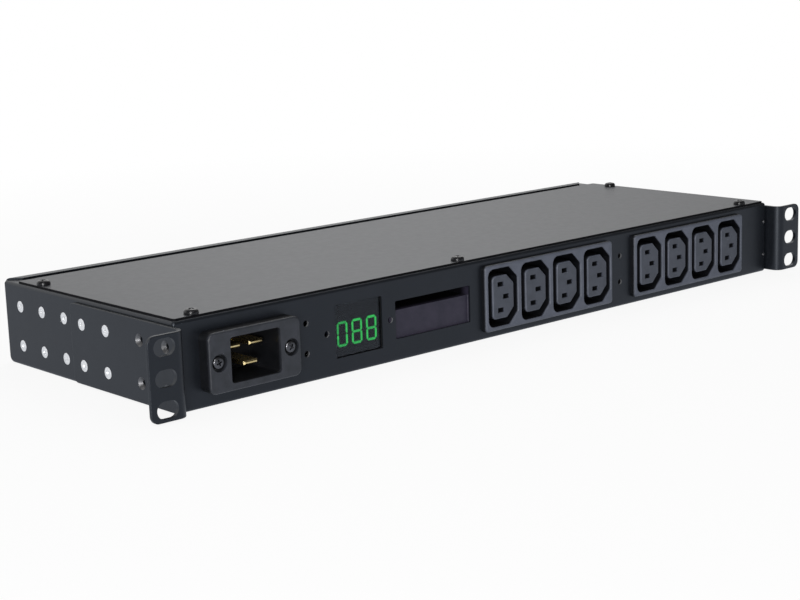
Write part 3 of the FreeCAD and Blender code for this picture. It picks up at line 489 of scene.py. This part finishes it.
def centres(node):
    """Middles of the separate solids in one node."""
    return [(low + high) / 2 for low, high in islands(node)]


def small_clusters(mesh, polygons, limit):
    """The polygons of every group that is smaller than limit each way."""
    kept = []
    for group in clusters(mesh, polygons):
        low, high = box_of(mesh, group)
        if max(high - low) < limit:
            kept += group
    return kept


def overpaint(mesh, material, polygons):
    """Gives some of a mesh's polygons a second material."""
    mesh.materials.append(material)
    for polygon in polygons:
        polygon.material_index = 1


def shade_the_cover_edges():
    """Painted shade: a dull black finish on all of the cover that doesn't face up or down."""
    mesh = frame["nodes"]["top_cover"].data
    edges = [polygon for polygon in mesh.polygons if abs(polygon.normal.z) < FLAT_LIMIT]
    overpaint(mesh, cover_edge_shade().material, edges)


def shade_the_noses():
    """Painted shade: a darker copy of the outlets' plastic on their noses, the small faces that stand free
    in the front.
    """
    # Painted shade: the same plastic, made darker for the noses.
    shade = outlet_plastic("outlet_nose_shade", colour(0.041, 0.046, 0.059), colour(0.051, 0.057, 0.073))
    for node in ("outlet_block_left", "outlet_block_right"):
        mesh = frame["nodes"][node].data
        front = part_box(node)[0].y + FRONT_REACH
        faces = [polygon for polygon in mesh.polygons
                 if polygon.normal.y < -FLAT_LIMIT and polygon.center.y < front]
        overpaint(mesh, shade.material, small_clusters(mesh, faces, NOSE_LIMIT))


def paint_hole_wall_highlights():
    """Painted highlight: light grey on the walls of the panel's small holes."""
    mesh = frame["nodes"]["case"].data
    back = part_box("case")[0].y + PANEL_REACH
    walls = [polygon for polygon in mesh.polygons
             if abs(polygon.normal.y) < WALL_LIMIT and polygon.center.y < back]
    overpaint(mesh, hole_wall_highlight().material, small_clusters(mesh, walls, SMALL_HOLE))


def in_side_hole(polygon, nut):
    """True for the walls of an ear's hole over a nut."""
    away = polygon.center - nut
    near = math.hypot(away.y, away.z) < HOLE_REACH and abs(away.x) < HOLE_REACH
    return near and abs(polygon.normal.x) < FLAT_LIMIT


def bare_the_steel():
    """Bare steel on the corner rivets and in the ears' open holes, each over a nut that no screw fills."""
    steel = bare_steel().material
    dress(frame["nodes"]["corner_rivets"], steel)
    screws = centres("ear_screws") + centres("spare_ear_screws")
    open_nuts = [nut for nut in centres("side_clinch_nuts")
                 if all((screw - nut).length >= HOLE_REACH for screw in screws)]
    for node in ("rack_ear_left", "rack_ear_right"):
        mesh = frame["nodes"][node].data
        walls = [polygon for polygon in mesh.polygons
                 if any(in_side_hole(polygon, nut) for nut in open_nuts)]
        overpaint(mesh, steel, walls)


def arc(centre, radius, start, end, steps):
    """Points of an arc in (radius, height), angles in degrees."""
    points = []
    for index in range(steps + 1):
        angle = math.radians(start + (end - start) * index / steps)
        points.append((centre[0] + radius * math.cos(angle), centre[1] + radius * math.sin(angle)))
    return points


def lathe(profile):
    """Closed mesh turned about Z from (radius, height) points that start and end on the axis."""
    made = bmesh.new()
    rings = []
    for radius, height in profile:
        if radius < ON_AXIS:
            rings.append([made.verts.new((0, 0, height))])
            continue
        ring = []
        for step in range(LATHE_STEPS):
            angle = 2 * math.pi * step / LATHE_STEPS
            ring.append(made.verts.new((radius * math.cos(angle), radius * math.sin(angle), height)))
        rings.append(ring)
    for below, above in zip(rings, rings[1:]):
        for step in range(LATHE_STEPS):
            after = (step + 1) % LATHE_STEPS
            corners = [below[step % len(below)], below[after % len(below)],
                       above[after % len(above)], above[step % len(above)]]
            made.faces.new(list(dict.fromkeys(corners)))
    bmesh.ops.recalc_face_normals(made, faces=made.faces)
    return made


def cross_cutter(top, recess):
    """Cross-shaped cutter that narrows downwards and stands a little out of the face at height top."""
    made = bmesh.new()
    arm = [(recess.span, -recess.width), (recess.span, recess.width), (recess.width, recess.width)]
    outline = []
    for quarter in range(4):
        outline += arm
        arm = [(-y, x) for x, y in arm]
    above = (top + RECESS_RISE, 1.0 + recess.taper * RECESS_RISE / recess.depth)
    below = (top - recess.depth, 1.0 - recess.taper)
    levels = []
    for height, scale in (above, below):
        levels.append([made.verts.new((x * scale, y * scale, height)) for x, y in outline])
    made.faces.new(levels[0])
    made.faces.new(list(reversed(levels[1])))
    for index in range(len(outline)):
        after = (index + 1) % len(outline)
        made.faces.new([levels[0][index], levels[1][index], levels[1][after], levels[0][after]])
    bmesh.ops.recalc_face_normals(made, faces=made.faces)
    return made


def to_object(name, made):
    """A scene object from a bmesh, which is freed."""
    mesh = bpy.data.meshes.new(name)
    made.to_mesh(mesh)
    made.free()
    piece = bpy.data.objects.new(name, mesh)
    bpy.context.scene.collection.objects.link(piece)
    return piece


def carve(body, cutter):
    """The body's mesh with the cutter taken out of it; both scratch objects are removed."""
    cut = body.modifiers.new("recess", "BOOLEAN")
    cut.operation = "DIFFERENCE"
    cut.solver = "EXACT"
    cut.object = cutter
    graph = bpy.context.evaluated_depsgraph_get()
    mesh = bpy.data.meshes.new_from_object(body.evaluated_get(graph))
    for scratch in (body, cutter):
        bpy.data.objects.remove(scratch)
    return mesh


def screw_mesh(profile, recess):
    """A turned screw with a cross recess in its top face."""
    top = max(height for radius, height in profile)
    body = to_object("screw_body", lathe(profile))
    cutter = to_object("screw_cutter", cross_cutter(top, recess))
    return carve(body, cutter)


def pan_profile(head, height, edge, shank, length):
    """Profile of a domed screw that stands on height 0, from its crown down to its tip."""
    crown = CROWN_SHARE * height
    rim = head / 2
    shoulder = rim - edge
    points = [(0, height), (KNEE_PLACE * shoulder, height - KNEE_FALL * crown), (shoulder, height - crown)]
    points += arc((shoulder, height - crown - edge), edge, 90, 0, PAN_ROUND_STEPS)[1:]
    points += [(rim, 0), (shank / 2, 0), (shank / 2, -PAN_TIP_FROM * length)]
    points += [(TIP_SHARE * shank, -length), (0, -length)]
    return points


def flush_profile(head, shank, length):
    """Profile of a countersunk screw whose face is at height 0, from its face down to its tip."""
    rim = head / 2
    shoulder = rim - FLUSH_EDGE
    cone = rim - shank / 2
    points = [(0, 0), (shoulder, 0)]
    points += arc((shoulder, -FLUSH_EDGE), FLUSH_EDGE, 90, 0, FLUSH_EDGE_STEPS)[1:]
    points += [(shank / 2, -FLUSH_EDGE - cone), (shank / 2, -FLUSH_TIP_FROM * length)]
    points += [(TIP_SHARE * shank, -length), (0, -length)]
    return points


def place_copies(name, mesh, places, finish, node):
    """One piece of many like screws, each turned so that its Z axis points along the given direction."""
    made = bmesh.new()
    for index, (point, outward) in enumerate(places):
        copy = mesh.copy()
        turn = outward.to_track_quat("Z", "Y").to_matrix().to_4x4()
        spin = Matrix.Rotation(math.radians(SPIN_STEP * index + SPIN_START), 4, "Z")
        copy.transform(Matrix.Translation(point) @ turn @ spin)
        made.from_mesh(copy)
        bpy.data.meshes.remove(copy)
    piece = to_object(name, made)
    for polygon in piece.data.polygons:
        polygon.use_smooth = True
    piece.data.set_sharp_from_angle(angle=SMOOTH_ANGLE)
    dress(piece, finish.material)
    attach(piece, "root")
    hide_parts(node)
    bpy.data.meshes.remove(mesh)


def make_flush_screws(node, finishes):
    """Flush screws of the two sides, in the places of one node's solids."""
    boxes = islands(node)
    low, high = boxes[0]
    head = high.y - low.y
    length = high.x - low.x
    mesh = screw_mesh(flush_profile(head, FLUSH_SHANK, length), FLUSH_RECESS)
    places = []
    for low, high in boxes:
        middle = (low + high) / 2
        side = math.copysign(1.0, middle.x)
        face = high.x if side > 0 else low.x
        places.append((Vector((face, middle.y, middle.z)), Vector((side, 0, 0))))
    place_copies(node + "_detailed", mesh, places, finishes["zinc_plate"], node)


def make_cover_screws(finishes):
    """Black pan-head screws of the cover."""
    boxes = islands("cover_screws")
    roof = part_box("top_cover")[1].z
    low, high = boxes[0]
    profile = pan_profile(high.x - low.x, high.z - roof, COVER_ROUND, COVER_SHANK, roof - low.z)
    mesh = screw_mesh(profile, COVER_RECESS)
    places = []
    for low, high in boxes:
        middle = (low + high) / 2
        places.append((Vector((middle.x, middle.y, roof)), Vector((0, 0, 1))))
    place_copies("cover_screws_detailed", mesh, places, finishes["black_screw"],
                 "cover_screws")


def make_inlet_screws():
    """Domed screws of the inlet, in their counterbores."""
    boxes = islands("inlet_screws")
    low, high = boxes[0]
    length = high.y - low.y - INLET_HEAD
    profile = pan_profile(high.x - low.x, INLET_HEAD, INLET_ROUND, INLET_SHANK, length)
    mesh = screw_mesh(profile, INLET_RECESS)
    places = []
    for low, high in boxes:
        middle = (low + high) / 2
        places.append((Vector((middle.x, low.y + INLET_HEAD, middle.z)), Vector((0, -1, 0))))
    place_copies("inlet_screws_detailed", mesh, places, dull_steel(), "inlet_screws")


def larger(tree, first, second):
    """The larger of two numbers."""
    made = tree.nodes.new("ShaderNodeMath")
    made.operation = "MAXIMUM"
    tree.links.new(first, made.inputs[0])
    tree.links.new(second, made.inputs[1])
    return made.outputs["Value"]


def background_rays(tree):
    """Two numbers: 1 for rays from the camera or through glass, and 1 for rays in reflections."""
    path = tree.nodes.new("ShaderNodeLightPath")
    straight = larger(tree, path.outputs["Is Camera Ray"], path.outputs["Is Transmission Ray"])
    return straight, path.outputs["Is Glossy Ray"]


def make_world():
    """White to the eye, gloomy to white from front to rear in reflections, plain ambient light otherwise."""
    world = bpy.data.worlds.new("studio")
    bpy.context.scene.world = world
    world.use_nodes = True
    tree = world.node_tree
    background = tree.nodes["Background"]
    background.inputs["Color"].default_value = WHITE
    direction = tree.nodes.new("ShaderNodeSeparateXYZ")
    tree.links.new(tree.nodes.new("ShaderNodeTexCoord").outputs["Generated"], direction.inputs["Vector"])
    studio = ranged(tree, direction.outputs["Y"], GLOOM_FROM, GLOOM_TO, FRONT_GLOOM, 1.0)
    straight, glossy = background_rays(tree)
    reflected = tree.nodes.new("ShaderNodeMix")
    tree.links.new(glossy, reflected.inputs["Factor"])
    reflected.inputs["A"].default_value = WORLD_AMBIENT
    tree.links.new(studio, reflected.inputs["B"])
    tree.links.new(larger(tree, straight, reflected.outputs["Result"]), background.inputs["Strength"])


def make_floor():
    """Plain white floor that keeps a faint shadow round the unit; reflections show it a little bluish."""
    mesh = bpy.data.meshes.new("floor")
    edge = FLOOR_SIZE / 2
    level = cad_low.z
    corners = [(-edge, -edge, level), (edge, -edge, level), (edge, edge, level), (-edge, edge, level)]
    mesh.from_pydata(corners, [], [(0, 1, 2, 3)])
    floor = bpy.data.objects.new("floor", mesh)
    bpy.context.scene.collection.objects.link(floor)
    material = bpy.data.materials.new("floor_white")
    material.use_nodes = True
    tree = material.node_tree
    tree.nodes.remove(tree.nodes["Principled BSDF"])
    paint = tree.nodes.new("ShaderNodeBsdfDiffuse")
    paint.inputs["Color"].default_value = FLOOR_PAINT
    light = tree.nodes.new("ShaderNodeEmission")
    straight, glossy = background_rays(tree)
    shade = tree.nodes.new("ShaderNodeMix")
    shade.data_type = "RGBA"
    tree.links.new(glossy, shade.inputs["Factor"])
    shade.inputs["A"].default_value = WHITE
    shade.inputs["B"].default_value = MIRRORED_FLOOR
    tree.links.new(shade.outputs["Result"], light.inputs["Color"])
    place = tree.nodes.new("ShaderNodeTexCoord")
    distance = tree.nodes.new("ShaderNodeVectorMath")
    distance.operation = "LENGTH"
    tree.links.new(place.outputs["Object"], distance.inputs[0])
    fade = ranged(tree, distance.outputs["Value"], SHADOW_NEAR, SHADOW_FAR, 1.0 - FLOOR_SHADOW, 1.0)
    share = tree.nodes.new("ShaderNodeMath")
    share.operation = "MULTIPLY"
    tree.links.new(larger(tree, straight, glossy), share.inputs[0])
    tree.links.new(fade, share.inputs[1])
    mix = tree.nodes.new("ShaderNodeMixShader")
    tree.links.new(share.outputs["Value"], mix.inputs["Fac"])
    tree.links.new(paint.outputs["BSDF"], mix.inputs[1])
    tree.links.new(light.outputs["Emission"], mix.inputs[2])
    tree.links.new(mix.outputs["Shader"], tree.nodes["Material Output"].inputs["Surface"])
    dress(floor, material)


def make_lamp(lamp):
    """Soft oblong lamp that points at its aim."""
    data = bpy.data.lights.new(lamp.name, "AREA")
    data.shape = "RECTANGLE"
    data.size = lamp.width
    data.size_y = lamp.height
    data.energy = lamp.power
    piece = bpy.data.objects.new(lamp.name, data)
    piece.location = lamp.place
    piece.rotation_euler = (Vector(lamp.aim) - Vector(lamp.place)).to_track_quat("-Z", "Y").to_euler()
    bpy.context.scene.collection.objects.link(piece)


def make_camera():
    """Camera at the photograph's place."""
    data = bpy.data.cameras.new("camera")
    data.sensor_fit = "HORIZONTAL"
    data.sensor_width = SENSOR_WIDTH
    data.lens = CAMERA_LENS
    camera = bpy.data.objects.new("camera", data)
    aim = (CAMERA_TARGET - CAMERA_PLACE).to_track_quat("-Z", "Y").to_matrix().to_4x4()
    roll = Matrix.Rotation(CAMERA_ROLL, 4, "Z")
    camera.matrix_world = Matrix.Translation(CAMERA_PLACE) @ aim @ roll
    bpy.context.scene.collection.objects.link(camera)
    bpy.context.scene.camera = camera


finishes = make_finishes()
dress_nodes(finishes)
shade_the_cover_edges()
shade_the_noses()
paint_hole_wall_highlights()
bare_the_steel()
make_flush_screws("ear_screws", finishes)
make_flush_screws("spare_ear_screws", finishes)
make_cover_screws(finishes)
make_inlet_screws()
make_world()
make_floor()
for lamp in LAMPS:
    make_lamp(lamp)
make_camera()
bpy.context.scene.view_settings.view_transform = "Standard"
